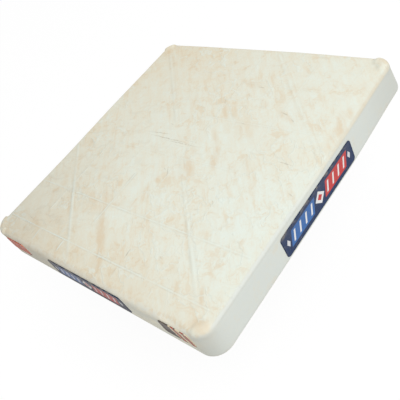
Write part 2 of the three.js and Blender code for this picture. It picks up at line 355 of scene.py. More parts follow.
# Dark scuffs of the top: start, end, half width and strength
SCUFFS = (
    (50, -164, 53, -186, 1.6, 0.8),
    (44, 145, 66, 142, 1.6, 0.7),
    (116, 101, 134, 96, 1.5, 0.8),
    (136, 94, 154, 82, 1.4, 0.7),
    (158, 18, 196, 15, 1.6, 0.7),
    (-2, -24, 22, -58, 1.8, 0.6),
    (-106, 17.2, 34, 14, 1.4, 0.8),
    (-76, 12, 60, 12.4, 1.4, 0.7),
    (-108, 20, -22, 26, 1.4, 0.7),
    (-30, 21, 44, 18, 1.4, 0.5),
    (-52, 9, 40, 6, 1.4, 0.4),
    (66, 70, 80, 68, 1.8, 0.6),
    (-60, 46, -46, 42, 1.5, 0.6),
    (-78, -24, -72, -40, 1.6, 0.4),
    (-4, -34, 6, -40, 1.5, 0.6),
    (206, -24, 220, -28, 1.6, 0.6),
    (94, -86, 110, -82, 1.6, 0.5),
    (174, -98, 178, -102, 2.0, 0.5),
    (100, -160, 108, -164, 1.5, 0.6),
    (54, -150, 62, -162, 1.4, 0.4),
    (-190, -182, -150, -190, 1.6, 0.6),
    (-142, -196, -144, -212, 1.6, 0.6),
    (-208, -190, -196, -206, 2.0, 0.5),
    (-200, -116, -160, -124, 1.6, 0.4),
    (-112, 134, -104, 130, 3.0, 0.3),
)

# Studio, in metres: the camera's place and axes, the lamp and the floor
CAMERA_AT = (0.58173, -0.33248, 0.67899)
CAMERA_RIGHT = (0.71163, 0.56966, -0.41118)
CAMERA_UP = (-0.22205, 0.73764, 0.63764)
CAMERA_SENSOR = 36
LAMP_AT = (1.41, -0.05, 1.64)
LAMP_AIM = (0, 0, 0.2)
FLOOR_SIDE = 12

# Mottle of the floor: its size in millimetres and its darkest level
FLOOR_SPECK = 40
FLOOR_SPECK_LEVEL = 0.98


def srgb(red, green, blue):
    """A display colour of 0 to 255 as the linear colour that Blender keeps."""

    def linear(level):
        share = level / 255
        if share <= 0.04045:
            return share / 12.92
        return ((share + 0.055) / 1.055) ** 2.4

    return (linear(red), linear(green), linear(blue))


def number_setting(name, description, default, **limits):
    """A number that a user can change."""
    return bpy.props.FloatProperty(name=name, description=description, default=default, **limits)


def length_setting(name, description, default):
    """A length whose default is in millimetres."""
    return number_setting(name, description, default * MM, unit="LENGTH")


def share_setting(name, description, default):
    """A share from 0 to 1."""
    return number_setting(name, description, default, min=0, max=1, subtype="FACTOR")


def colour_setting(name, description, default):
    """A colour whose default is a display colour of 0 to 255."""
    return bpy.props.FloatVectorProperty(
        name=name, description=description, default=srgb(*default), min=0, max=1, size=3, subtype="COLOR"
    )


class RubberSettings(bpy.types.PropertyGroup):
    """Relief, wear and colours of the moulded cover."""

    lip_rise: length_setting("Lip rise", "How far a corner lip stands above the top", 4)
    line_rise: length_setting("Line rise", "Height of the straight ridges", 0.6)
    diagonal_rise: length_setting("Diagonal rise", "Height of the slanted ridges", 1)
    wave: length_setting("Wave", "Depth of the slow waves of the worn top", 0.45)
    # Also the colour of the painted highlight on the ridges' crests
    clean: colour_setting("Clean rubber", "Colour where the rubber is clean", (230, 237, 227))
    cream: colour_setting("Aged rubber", "Colour where the rubber has aged", (230, 220, 195))
    clay: colour_setting("Clay", "Colour of the rubbed-in clay", (218, 188, 148))
    side: colour_setting("Side", "Colour of the cleaner right, back and left sides", (217, 222, 217))
    # Partly the aged rubber's tone and partly painted light that lifts the front face, which the lamp
    # leaves in shade
    front: colour_setting("Front", "Colour of the dusted front side", (250, 243, 220))
    # Also the colour of the painted shade on the rolled edges, the ridges' and lips' feet and the right
    # side's ends
    scuff_and_shade: colour_setting("Scuff", "Colour of the dark scuffs", (150, 136, 116))


class MountSettings(bpy.types.PropertyGroup):
    """Edges and colours of the steel under the cover."""

    edge: length_setting("Edge", "Chamfer of the steel's edges", 0.35)
    thread_pitch: length_setting("Thread pitch", "Distance between the bolts' threads", 1.25)
    plate: colour_setting("Plate", "Colour of the rolled plates", (104, 107, 111))
    galvanised: colour_setting("Galvanised", "Colour of the post's zinc coat", (164, 168, 172))
    weld: colour_setting("Weld", "Colour of the weld bead", (112, 106, 98))
    heat: colour_setting("Heat", "Colour that heat has left on the weld", (92, 96, 118))
    zinc: colour_setting("Zinc", "Colour of the plated fasteners", (190, 193, 196))
    rust: colour_setting("Rust", "Colour of the light rust", (122, 74, 44))


class LabelSettings(bpy.types.PropertyGroup):
    """Colours printed on the side patches and the corner decals."""

    navy: colour_setting("Navy", "Ground of the side patches", (26, 52, 92))
    blue: colour_setting("Blue", "Bars of the patches' left half", (58, 108, 172))
    red: colour_setting("Red", "Bars of the patches' right half", (200, 66, 66))
    white: colour_setting("White", "Slashes and diamonds of the patches", (236, 236, 236))
    brick: colour_setting("Brick", "Ground of the left decal", (176, 60, 34))
    brown: colour_setting("Brown", "Dark band of the right decal", (58, 42, 28))
    sand: colour_setting("Sand", "Pale band of the right decal", (226, 208, 176))
    orange: colour_setting("Orange", "Stripes of the left decal", (214, 112, 70))
    faded: colour_setting("Faded", "Colour of the decals' worn spots", (216, 200, 172))
    soil: colour_setting("Soil", "Soil on the patches' ground", (80, 66, 44))
    film: colour_setting("Film", "Film of dust on the patches' print", (150, 136, 126))
    dust: colour_setting("Dust", "Colour of the patches' worn spots", (196, 184, 160))


class StageSettings(bpy.types.PropertyGroup):
    """Camera, lamp and floor."""

    lens: number_setting("Lens", "Focal length in millimetres", 50.81, min=1, unit="CAMERA")
    ambient: number_setting("Ambient", "Strength of the light from all round", 0.645, min=0)
    lamp_power: number_setting("Lamp power", "Power of the soft lamp in watts", 21, min=0, unit="POWER")
    lamp_size: number_setting("Lamp size", "Side of the soft lamp", 1.3, min=0.01, unit="LENGTH")
    shadow: share_setting("Shadow", "Share of the floor's white that the object can shade", 0.08)
    floor_light: share_setting("Floor light", "How brightly the open floor is lit", 0.8)
    floor: colour_setting("Floor", "Colour of the floor in the light it sends back", (205, 205, 203))


class Wire:
    """An output of a shader node. Python's operators on it add Math nodes."""

    def __init__(self, shader, socket):
        self.shader = shader
        self.socket = socket

    def math(self, operation, *values):
        """A Math node on wires and numbers."""
        return self.shader.node("ShaderNodeMath", {"operation": operation}, dict(enumerate(values)))

    def __add__(self, other):
        return self.math("ADD", self, other)

    def __radd__(self, other):
        return self.math("ADD", other, self)

    def __sub__(self, other):
        return self.math("SUBTRACT", self, other)

    def __rsub__(self, other):
        return self.math("SUBTRACT", other, self)

    def __mul__(self, other):
        return self.math("MULTIPLY", self, other)

    def __rmul__(self, other):
        return self.math("MULTIPLY", other, self)

    def __truediv__(self, other):
        return self.math("DIVIDE", self, other)

    def __rtruediv__(self, other):
        return self.math("DIVIDE", other, self)

    def __mod__(self, other):
        return self.math("FLOORED_MODULO", self, other)

    def __rmod__(self, other):
        return self.math("FLOORED_MODULO", other, self)

    def __abs__(self):
        return self.math("ABSOLUTE", self)

    def over(self, other):
        """The larger of the two."""
        return self.math("MAXIMUM", self, other)

    def under(self, other):
        """The smaller of the two."""
        return self.math("MINIMUM", self, other)

    def ease(self, low, high):
        """0 below low and 1 above high, or the other way round where low is the larger."""
        first, last = (low, high) if low < high else (high, low)
        start, end = (0, 1) if low < high else (1, 0)
        return self.shader.node(
            "ShaderNodeMapRange",
            {"interpolation_type": "SMOOTHSTEP"},
            {"Value": self, "From Min": first, "From Max": last, "To Min": start, "To Max": end},
        )


class Shader:
    """The node tree of one finish."""

    def __init__(self, owner):
        owner.use_nodes = True
        self.owner = owner
        self.tree = owner.node_tree
        self.tree.nodes.clear()

    def node(self, kind, settings=None, sockets=None, output=0):
        """A node of that kind, its settings set first and then its sockets' values or links."""
        made = self.tree.nodes.new(kind)
        for key, value in (settings or {}).items():
            setattr(made, key, value)
        for key, value in (sockets or {}).items():
            if isinstance(value, Wire):
                self.tree.links.new(value.socket, made.inputs[key])
            else:
                made.inputs[key].default_value = value
        return Wire(self, made.outputs[output]) if made.outputs else None

    def colour(self, value):
        """A colour as a socket takes it."""
        return value if isinstance(value, Wire) else (*value, 1)

    def mix(self, share, first, second):
        """A colour between two, by a share."""
        sockets = {0: share, 6: self.colour(first), 7: self.colour(second)}
        return self.node("ShaderNodeMix", {"data_type": "RGBA"}, sockets, 2)

    def vector(self, operation, first, second):
        """A Vector Math node on two vectors."""
        return self.node("ShaderNodeVectorMath", {"operation": operation}, {0: first, 1: second})

    def along(self, place, direction):
        """How far a place lies along a direction."""
        return self.node(
            "ShaderNodeVectorMath", {"operation": "DOT_PRODUCT"}, {0: place, 1: direction}, "Value"
        )

    def axes(self, place):
        """The three coordinates of a place."""
        parted = self.node("ShaderNodeSeparateXYZ", None, {"Vector": place}).socket.node
        return [Wire(self, socket) for socket in parted.outputs]

    def attribute(self, name):
        """A number that the mesh keeps at its points."""
        return self.node("ShaderNodeAttribute", {"attribute_name": name}, output="Fac")

    def millimetres(self, low=0):
        """The place on the object, in millimetres from its origin or from a height above it."""
        spot = self.node("ShaderNodeTexCoord", output="Object")
        scaled = self.vector("MULTIPLY", spot, (1 / MM, 1 / MM, 1 / MM))
        return self.vector("SUBTRACT", scaled, (0, 0, low))

    def mapped(self, place, angle, scale, at=(0, 0, 0)):
        """A place in a frame that is turned about Z, stretched and set at a point."""
        return self.node(
            "ShaderNodeMapping",
            {"vector_type": "TEXTURE"},
            {"Vector": place, "Location": at, "Rotation": (0, 0, angle), "Scale": scale},
        )

    def grain(self, place, size, detail=2, roughness=0.5, output=0):
        """Cloudy noise whose patches are about that many millimetres across."""
        return self.node(
            "ShaderNodeTexNoise",
            {"noise_dimensions": "3D"},
            {"Vector": place, "Scale": 1 / size, "Detail": detail, "Roughness": roughness},
            output,
        )

    def streaks(self, place, way, detail=2, roughness=0.5):
        """Noise drawn out in a way given by its turn and its sizes."""
        turn, scale = way
        return self.grain(self.mapped(place, math.radians(turn), scale), 1, detail, roughness)

    def warped(self, place, size, depth):
        """A place pushed about by noise, so that what is drawn there has ragged edges."""
        push = self.vector("SUBTRACT", self.grain(place, size, 3, 0.6, output="Color"), (0.5, 0.5, 0.5))
        return self.vector("ADD", place, self.vector("MULTIPLY", push, (depth, depth, depth)))

    def strokes(self, place, marks):
        """A mask of soft strokes, each from one point of the top to another."""
        masks = []
        for x0, y0, x1, y1, half_width, strength in marks:
            reach = math.hypot(x1 - x0, y1 - y0) / 2 + half_width
            middle = ((x0 + x1) / 2, (y0 + y1) / 2, HEIGHT)
            angle = math.atan2(y1 - y0, x1 - x0)
            mapped = self.mapped(place, angle, (reach, half_width, HEIGHT), middle)
            soft = self.node("ShaderNodeTexGradient", {"gradient_type": "SPHERICAL"}, {"Vector": mapped}, 1)
            masks.append(soft * strength)
        return strongest(*masks)

    def bump(self, height, strength, depth, normal=None):
        """A normal bent by a height, whose full depth is in millimetres."""
        sockets = {"Height": height, "Strength": strength, "Distance": depth * MM}
        if normal:
            sockets["Normal"] = normal
        return self.node("ShaderNodeBump", None, sockets)

    def surface(self, colour, **sockets):
        """The Principled shader, as the surface of the material that this returns."""
        named = {key.replace("_", " "): value for key, value in sockets.items()}
        self.output(self.node("ShaderNodeBsdfPrincipled", None, {"Base Color": colour, **named}))
        return self.owner

    def output(self, shader, kind="ShaderNodeOutputMaterial"):
        """The end of the tree."""
        self.node(kind, None, {"Surface": shader})


def new_finish(name):
    """The shader of a new material."""
    return Shader(bpy.data.materials.new(name))


def strongest(first, *others):
    """The largest of several masks, point by point."""
    for mask in others:
        first = first.over(mask)
    return first


def inside(distance, half, soft=PRINT_SOFT):
    """1 within a half width and 0 past it, with a soft edge."""
    return distance.ease(half + soft, half - soft)


def dimmed(colour, level):
    """A colour with a share of its light."""
    return tuple(level * channel for channel in colour)


def rubber_grains(shader, place):
    """The noises that the rubber's marks are cut from, by name."""
    swirled = shader.warped(place, size=34, depth=36)
    ragged = shader.warped(swirled, size=8, depth=9)
    streaked = shader.warped(shader.warped(place, size=40, depth=16), size=7, depth=5)
    return {
        "broad": shader.grain(place, 80, detail=3),
        "patchy": shader.grain(ragged, 24, detail=5, roughness=0.62),
        "mottle": shader.grain(ragged, 7, detail=4, roughness=0.65),
        "fine": shader.grain(place, 2.6, detail=3, roughness=0.6),
        "pebble": shader.grain(place, 1.5),
        "long_rub": shader.streaks(streaked, LONG_RUB, detail=4, roughness=0.62),
        "thin_rub": shader.streaks(streaked, THIN_RUB, detail=3, roughness=0.6),
        "cross_rub": shader.streaks(ragged, CROSS_RUB, detail=4, roughness=0.6),
        "folds": shader.streaks(swirled, FOLD, detail=3),
        "wiped": shader.streaks(ragged, WIPE, detail=3, roughness=0.6),
    }


def rubber_age(grains, x, y, near_front):
    """How far the rubber has aged, from 0 where it is clean to 1 where it is cream; its rise towards the
    left and the front is partly aged rubber and partly painted shade.
    """
    # The rise towards the left and the front is partly painted shade of the lamp's falloff; the top is kept
    # lighter towards the front right.
    towards_left = x.ease(60, -235) * 0.25
    towards_ends = abs(y).ease(60, 240) * 0.12
    back_left = y.ease(20, 230) * x.ease(160, -120) * 0.12
    lighter_right = x.ease(40, 200) * abs(y + 100).ease(150, 50) * 0.2
    age = AGE_MEAN + towards_left + towards_ends + back_left + near_front * 0.2 - lighter_right
    for name, shift in AGE_SHIFTS.items():
        age = age + (grains[name] - 0.5) * shift
    return age.over(0).under(1)


def rubber_clay(shader, grains, ragged, foot):
    """Share of the clay that is rubbed into the top: smears, clouds of small marks and the lips."""
    broken = 0.3 + grains["long_rub"].ease(0.38, 0.6) * 0.7
    smears = shader.strokes(ragged, SMEARS).ease(0, 0.75) * broken
    on_lips = 0.2 + grains["patchy"] * 0.35 + foot * 0.2
    lips = shader.strokes(ragged, LIP_MARKS).ease(0, 0.7) * on_lips
    marks = [grains[name].ease(start, full) * share for name, (start, full, share) in CLAY_MARKS.items()]
    clouds = 0.3 + (grains["patchy"] * 0.5 + grains["broad"] * 0.5).ease(0.44, 0.58) * 0.95
    return strongest(smears * SMEAR_SHARE, strongest(*marks) * clouds, lips)


def rubber_finish(settings):
    """Cream rubber, rubbed with clay on top and cleaner on its sides, with scuffs and a fine grain, and
    with painted light and shade on its ridges, rolled edges and sides.
    """
    shader = new_finish("worn_white_rubber")
    place = shader.millimetres(UNDERSIDE)
    ragged = shader.warped(place, size=9, depth=7)
    x, y, z = shader.axes(place)
    crest = shader.attribute("ridge_crest")
    foot = shader.attribute("ridge_foot")
    grains = rubber_grains(shader, place)
    fine, mottle, patchy, wiped = [grains[name] for name in ("fine", "mottle", "patchy", "wiped")]

    top = z.ease(HEIGHT - 5, HEIGHT - 1.5)
    under = z.ease(3, 1)
    front = y.ease(-HALF + 14, -HALF + 4)
    near_front = y.ease(-130, -215) * x.ease(260, 110)
    front_edge = front * z.ease(HEIGHT - 16, HEIGHT - 8)
    right_skin = (x + y.ease(60, HALF) * 3.2).ease(HALF - 5, HALF - 1)
    right_edge = right_skin * z.ease(HEIGHT - 7, HEIGHT - 3)
    # Painted shade on the rolled right edge, where the lamp lights it: grey towards the back, and the
    # side's colour with a little grey towards the front
    front_right_edge_shade = right_edge * y.ease(40, -60)
    # Painted shade along the rolled left edge of the top
    left_edge_shade = x.ease(12 - HALF, 5 - HALF) * y.ease(20, -200) * z.ease(HEIGHT - 9, HEIGHT - 4)

    colour = shader.mix(rubber_age(grains, x, y, near_front), settings.clean, settings.cream)
    clay = strongest(
        rubber_clay(shader, grains, ragged, foot),
        front_edge * mottle.ease(0.42, 0.62) * 0.45,
        right_edge * y.ease(-60, 80) * patchy * 0.4,
    )
    colour = shader.mix(clay, colour, settings.clay)

    wrinkles = abs(grains["folds"] - 0.5).ease(0.024, 0) * grains["broad"].ease(0.4, 0.6) * top
    powdered = x.ease(-140, -200) * y.ease(-140, -200) * mottle.ease(0.47, 0.6) * top
    # Paler ridge crests, partly worn rubber and partly a painted highlight; pale wrinkles and powder
    pale = strongest(crest * CREST_SHARE, wrinkles * WRINKLE_SHARE, powdered * POWDER_SHARE)
    colour = shader.mix(pale, colour, settings.clean)

    greyed = grains["cross_rub"].ease(0.48, 0.36) * x.ease(80, -160) * y.ease(130, 30) * 0.08
    # Darker towards the front left: partly soil, partly painted shade of the lamp's falloff.
    front_left_soil_and_shade = x.ease(0, -230) * y.ease(60, -230) * (0.08 + patchy * 0.25) + near_front * 0.06
    grey = strongest(
        (greyed + front_left_soil_and_shade) * top,
        # Darker feet of the ridges and the lips: partly dirt, partly painted shade
        foot * FOOT_SHARE,
        # Painted shade on the back part of the rolled right edge
        right_edge * y.ease(-60, 70) * 0.22,
        front_edge * x.ease(180, -150) * 0.2,
        left_edge_shade * 0.16,
    )
    colour = shader.mix(grey, colour, settings.scuff_and_shade)
    scuffs = shader.strokes(shader.warped(place, size=9, depth=2.5), SCUFFS).ease(0.15, 0.7)
    scuffs = scuffs * fine.ease(0.3, 0.55) * top
    hairs = shader.streaks(ragged, HAIR).ease(0.64, 0.78) * patchy.ease(0.45, 0.7) * top
    colour = shader.mix((scuffs * SCUFF_SHARE).over(hairs * HAIR_SHARE), colour, settings.scuff_and_shade)

    # The sides' colour, also laid over the front part of the rolled right edge as painted shade
    side = (1 - top).over(front_right_edge_shade) * (1 - under)
    colour = shader.mix(side * (0.75 + wiped * 0.25) * (1 - clay), colour, settings.side)
    front_side = side * front * x.ease(HALF, HALF - 40)
    # A pale cream over the front side, partly the aged rubber's tone and partly painted light that lifts
    # the front face out of the lamp's shade
    colour = shader.mix(front_side * (0.3 + wiped.ease(0.35, 0.7) * 0.5), colour, settings.front)
    # Painted shade at both ends of the right side and on the front part of the rolled right edge; the front
    # side is also darker towards the left
    right_end_shade = side * x.ease(185, 222) * (y.ease(-185, -222) * 0.1).over(y.ease(100, 215) * 0.13)
    side_darkening = strongest(front_side * x.ease(180, -220) * 0.4, right_end_shade, front_right_edge_shade * 0.09)
    colour = shader.mix(side_darkening, colour, settings.scuff_and_shade)
    colour = shader.mix(under * (0.35 + patchy * 0.5), colour, settings.clay)

    relief = shader.bump(grains["pebble"] * 0.5 + fine, strength=0.35, depth=0.12)
    creased = shader.bump(wrinkles, strength=0.7, depth=0.4, normal=relief)
    scratches = (1 - hairs * 0.6) - scuffs * 0.8
    normal = shader.bump(scratches, strength=0.5, depth=0.15, normal=creased)
    rough = 0.62 + (patchy - 0.5) * 0.2 + clay * 0.15
    return shader.surface(colour, Roughness=rough, Specular_IOR_Level=0.35, Normal=normal)


def plate_finish(settings):
    """Rolled steel with mill scale and a little rust."""
    shader = new_finish("rolled_plate")
    place = shader.millimetres(UNDERSIDE)
    mill_scale = shader.streaks(place, MILL_SCALE, detail=4, roughness=0.6)
    blotch = shader.grain(place, 14, detail=4, roughness=0.65)
    pits = shader.grain(place, 1.4)
    rusted = blotch.ease(0.58, 0.74) * 0.6
    colour = shader.mix(mill_scale, dimmed(settings.plate, 0.55), settings.plate)
    colour = shader.mix(rusted, colour, settings.rust)
    normal = shader.bump(pits + mill_scale * 0.6, strength=0.3, depth=0.15)
    rough = 0.42 + blotch * 0.2 + rusted * 0.3
    return shader.surface(colour, Metallic=0.9 - rusted, Roughness=rough, Normal=normal)


def galvanised_finish(settings):
    """Hot-dip zinc with its spangle."""
    shader = new_finish("galvanised_post")
    place = shader.millimetres(UNDERSIDE)
    flakes = {"Vector": place, "Scale": 1 / SPANGLE, "Randomness": 1}
    spangle = shader.node("ShaderNodeTexVoronoi", {"feature": "F1"}, flakes, "Color")
    flake = shader.along(spangle, (0.6, 0.4, 0))
    drawn = shader.streaks(place, TUBE_DRAW, detail=3)
    soil = shader.grain(place, 20, detail=4, roughness=0.6).ease(0.5, 0.75)
    sheen = flake * 0.7 + drawn * 0.3
    colour = shader.mix(sheen, dimmed(settings.galvanised, 0.6), settings.galvanised)
    colour = shader.mix(soil * 0.4, colour, settings.rust)
    normal = shader.bump(drawn + flake * 0.4, strength=0.25, depth=0.12)
    metal = 0.9 - soil * 0.4
    return shader.surface(colour, Metallic=metal, Roughness=0.34 + flake * 0.2, Normal=normal)


def weld_finish(settings):
    """Weld metal with heat colours."""
    shader = new_finish("weld_bead")
    place = shader.millimetres(UNDERSIDE)
    heat = shader.grain(place, 6, detail=3)
    slag = shader.grain(place, 1.2, detail=3)
    colour = shader.mix(heat.ease(0.35, 0.65), settings.weld, settings.heat)
    colour = shader.mix(slag.ease(0.6, 0.75) * 0.7, colour, settings.rust)
    normal = shader.bump(slag, strength=0.3, depth=0.12)
    return shader.surface(colour, Metallic=0.85, Roughness=0.4 + slag * 0.25, Normal=normal)


def zinc_finish(settings):
    """Bright plated steel with fine turning marks."""
    shader = new_finish("plated_fastener")
    place = shader.millimetres(UNDERSIDE)
    bloom = shader.grain(place, 4, detail=3)
    marks = shader.streaks(place, LATHE_MARKS)
    straw = tuple(level * tint for level, tint in zip(settings.zinc, ZINC_STRAW))
    colour = shader.mix(bloom.ease(0.4, 0.7), settings.zinc, straw)
    normal = shader.bump(marks, strength=0.2, depth=0.06)
    return shader.surface(colour, Metallic=0.95, Roughness=0.26 + bloom * 0.2, Normal=normal)


def woven(u, v):
    """Fine threads of a woven label, as a height."""
    wide, high = WEAVE
    return abs(u / wide % 1 - 0.5) + abs(v / high % 1 - 0.5)


def lozenge(u, v, wide, high):
    """Distance from the middle of a lozenge, 1 at its edge."""
    return abs(u) / wide + abs(v) / high


def patch_finish(settings, name, dusty):
    """Dusty navy label: slanted blue bars, slanted red bars and a diamond between them."""
    shader = new_finish(name)
    place = shader.millimetres()
    u, v, _ = shader.axes(place)
    length, width = PATCH[:2]
    from_edge = (length / 2 - abs(u)).under(width / 2 - abs(v))

    slanted = abs(u - v * BAR_SLANT)
    left = inside(u, 0)
    bars = inside(abs(v), BAR_HALF) * inside(slanted, BAR_END) * (1 - inside(slanted, BAR_START))
    from_slash = abs((slanted - SLASH_START) % SLASH_PITCH - SLASH_MIDDLE)
    slashes = inside(from_slash, SLASH_HALF, SLASH_SOFT) * bars * inside(abs(v), SLASH_REACH)
    diamond = inside(lozenge(u, v, *DIAMOND), 0.99, 0.03)
    heart = inside(lozenge(u, v, *HEART), 0.98, 0.04)
    studs = inside(lozenge(abs(u) - STUD_AT, v, *STUD), 0.99, 0.05)

    speck = shader.grain(place, 1.6, detail=3, roughness=0.7)
    rubbed = shader.grain(place, 11, detail=4, roughness=0.6)
    dust_share = dusty * (0.6 + rubbed * 0.8)
    pale_navy = tuple(level + 0.05 for level in dimmed(settings.navy, 0.75))
    ground = shader.mix(speck.ease(0.42, 0.68) * 0.7, settings.navy, pale_navy)
    ground = shader.mix(dust_share * 1.6, ground, settings.soil)
    colour = shader.mix(bars * left, ground, settings.blue)
    colour = shader.mix(bars * (1 - left), colour, settings.red)
    colour = shader.mix(strongest(slashes, diamond, studs * 0.8), colour, settings.white)
    colour = shader.mix(heart, colour, settings.red)
    colour = shader.mix(inside(from_edge, PATCH_BORDER) * 0.8, colour, dimmed(settings.navy, 0.5))
    worn = rubbed.ease(0.56, 0.72) * speck.ease(0.4, 0.6)
    settled = v.ease(11, 16) * rubbed.ease(0.45, 0.65)
    colour = shader.mix((worn * 0.25).over(settled * 0.3), colour, settings.dust)
    colour = shader.mix(dust_share * bars.over(diamond), colour, settings.film)

    normal = shader.bump(woven(u, v) + speck * 0.5, strength=0.3, depth=0.08)
    rough = 0.42 + worn * 0.3 + speck * 0.12
    return shader.surface(colour, Roughness=rough, Specular_IOR_Level=0.2, Normal=normal)


def decal_finish(name, ground, other, join, stripe, line, faded):
    """A sticker whose ground goes over to another colour at a wavy join, with lined stripes past it."""
    shader = new_finish(name)
    place = shader.millimetres()
    u, v, _ = shader.axes(place)
    sway = shader.grain(place, 9) - 0.5
    speck = shader.grain(place, 1.3, detail=3, roughness=0.7)
    across = u + sway * DECAL_SWAY + v * DECAL_SLANT
    past_join = across.ease(join + 2, join + 3)
    from_stripe = abs((across - join) % STRIPE_PITCH - STRIPE_MIDDLE)
    from_line = abs(from_stripe - STRIPE_LINE)
    colour = shader.mix(inside(across, join), other, ground)
    colour = shader.mix(inside(from_stripe, STRIPE_HALF, STRIPE_SOFT) * past_join, colour, stripe)
    colour = shader.mix(inside(from_line, STRIPE_LINE_HALF, STRIPE_SOFT) * past_join, colour, line)
    blotch = shader.grain(place, 7, detail=4, roughness=0.65)
    worn = blotch.ease(0.5, 0.75) * 0.2 + speck.ease(0.6, 0.75) * 0.2
    colour = shader.mix(worn, colour, faded)
    normal = shader.bump(speck, strength=0.2, depth=0.06)
    return shader.surface(colour, Roughness=0.4 + speck * 0.2, Specular_IOR_Level=0.5, Normal=normal)


def smooth(value, low, high):
    """0 at low and 1 at high, with a soft rise between."""
    share = min(1, max(0, (value - low) / (high - low)))
    return share * share * (3 - 2 * share)


def soft_max(first, second, blend):
    """The larger of two lengths, rounded over where they are close."""
    near = max(0, blend - abs(first - second))
    return max(first, second) + (near * near / (4 * blend) if near else 0)


def rounded(x0, x1, y0, y1, radii, steps=4, straight=1):
    """Points of a rectangle with round corners, anticlockwise from the corner at x1, y1."""
    corners = ((x1, y1), (x0, y1), (x0, y0), (x1, y0))
    points = []
    for turn, ((x, y), radius) in enumerate(zip(corners, radii)):
        middle = math.radians(90 * turn + 45)
        cx = x - math.copysign(radius, math.cos(middle))
        cy = y - math.copysign(radius, math.sin(middle))
        for step in range(steps + 1):
            angle = math.radians(90 * (turn + step / steps))
            points.append((cx + radius * math.cos(angle), cy + radius * math.sin(angle)))
    if straight == 1:
        return points
    divided = []
    for i, (x, y) in enumerate(points):
        divided.append((x, y))
        if i % (steps + 1) == steps:
            nx, ny = points[(i + 1) % len(points)]
            for step in range(1, straight):
                divided.append((x + (nx - x) * step / straight, y + (ny - y) * step / straight))
    return divided


def square(half, radius, steps=4, straight=1):
    """Points of a square with round corners."""
    return rounded(-half, half, -half, half, [radius] * 4, steps, straight)


def circle(x, y, radius, steps=TURN_STEPS):
    """Points of a circle about a place."""
    turns = [2 * math.pi * step / steps for step in range(steps)]
    return [(x + radius * math.cos(turn), y + radius * math.sin(turn)) for turn in turns]


def bolt_places():
    """Where the four bolts stand."""
    return [(sx * BOLT_REACH, sy * BOLT_REACH) for sx, sy in CORNERS]


class Shell:
    """A closed mesh in the making, in millimetres."""

    def __init__(self):
        self.mesh = bmesh.new()

    def ring(self, points, z):
        """Points of the mesh at one height."""
        return [self.mesh.verts.new((x, y, z)) for x, y in points]

    def face(self, corners):
        """A face; corners that share a point are counted once."""
        self.mesh.faces.new(list(dict.fromkeys(corners)))

    def wall(self, first, second, closed=True):
        """Faces between two rings of equal count."""
        count = len(first)
        for i in range(count if closed else count - 1):
            j = (i + 1) % count
            self.face((first[i], second[i], second[j], first[j]))

    def skin(self, rings, looped=False):
        """Faces over a row of rings."""
        for first, second in zip(rings, rings[1:]):
            self.wall(first, second)
        if looped:
            self.wall(rings[-1], rings[0])

    def capped(self, rings):
        """Faces over a row of rings and over its two ends."""
        self.skin(rings)
        self.fill(rings[0])
        self.fill(rings[-1])

    def fill(self, *rings):
        """Flat faces inside the first ring and outside the others."""
        edges = {}
        for ring in rings:
            for pair in zip(ring, ring[1:] + ring[:1]):
                edge = self.mesh.edges.get(pair) or self.mesh.edges.new(pair)
                edges[edge] = None
        bmesh.ops.triangle_fill(self.mesh, use_beauty=True, use_dissolve=False, edges=list(edges))

    def piece(self, name, slot, finish, spot=None):
        """The object, in metres and riding on the frame, in place of the CAD node of the same name."""
        bmesh.ops.recalc_face_normals(self.mesh, faces=self.mesh.faces)
        if spot is None:
            bmesh.ops.translate(self.mesh, vec=(0, 0, UNDERSIDE), verts=self.mesh.verts)
        bmesh.ops.scale(self.mesh, vec=(MM, MM, MM), verts=self.mesh.verts)
        data = bpy.data.meshes.new(name + "_form")
        self.mesh.to_mesh(data)
        self.mesh.free()
        data.shade_smooth()
        data.set_sharp_from_angle(angle=SHARP_ANGLE)
        data.materials.append(finish)
        made = bpy.data.objects.new(name + "_form", data)
        bpy.context.scene.collection.objects.link(made)
        if spot is not None:
            made.matrix_world = spot
        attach(made, BODY)
        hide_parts(name)
        return made


def top_ridges(settings):
    """Each ridge of the top as its two ends, width, rise and share of the full rise."""
    line_rise = settings.line_rise / MM
    diagonal_rise = settings.diagonal_rise / MM

    def clamp(pitches):
        return min(FLAT_REACH, max(-FLAT_REACH, pitches * PITCH))

    ridges = []
    for (at, low, high), across, along in zip(LINES, ACROSS_SHARES, ALONG_SHARES):
        line = at * PITCH
        ridges.append((line, clamp(low), line, clamp(high), LINE_WIDTH, line_rise, along))
        ridges.append((clamp(-high), -line, clamp(-low), -line, LINE_WIDTH, line_rise, across))
    for low, high, share in MAIN_DIAGONAL:
        start, end = low * PITCH, high * PITCH
        ridges.append((start, -start, end, -end, DIAGONAL_WIDTH, diagonal_rise, share))
    for turn, share in OUTER_SHARES.items():
        near = turn * (OUTER_DIAGONAL * PITCH - FLAT_REACH)
        far = turn * FLAT_REACH
        ridges.append((near, far, far, near, DIAGONAL_WIDTH, diagonal_rise, share))
    for x, low, high, share in TICKS:
        ridges.append((x, low, x, high, TICK_WIDTH, line_rise, share))
    return ridges


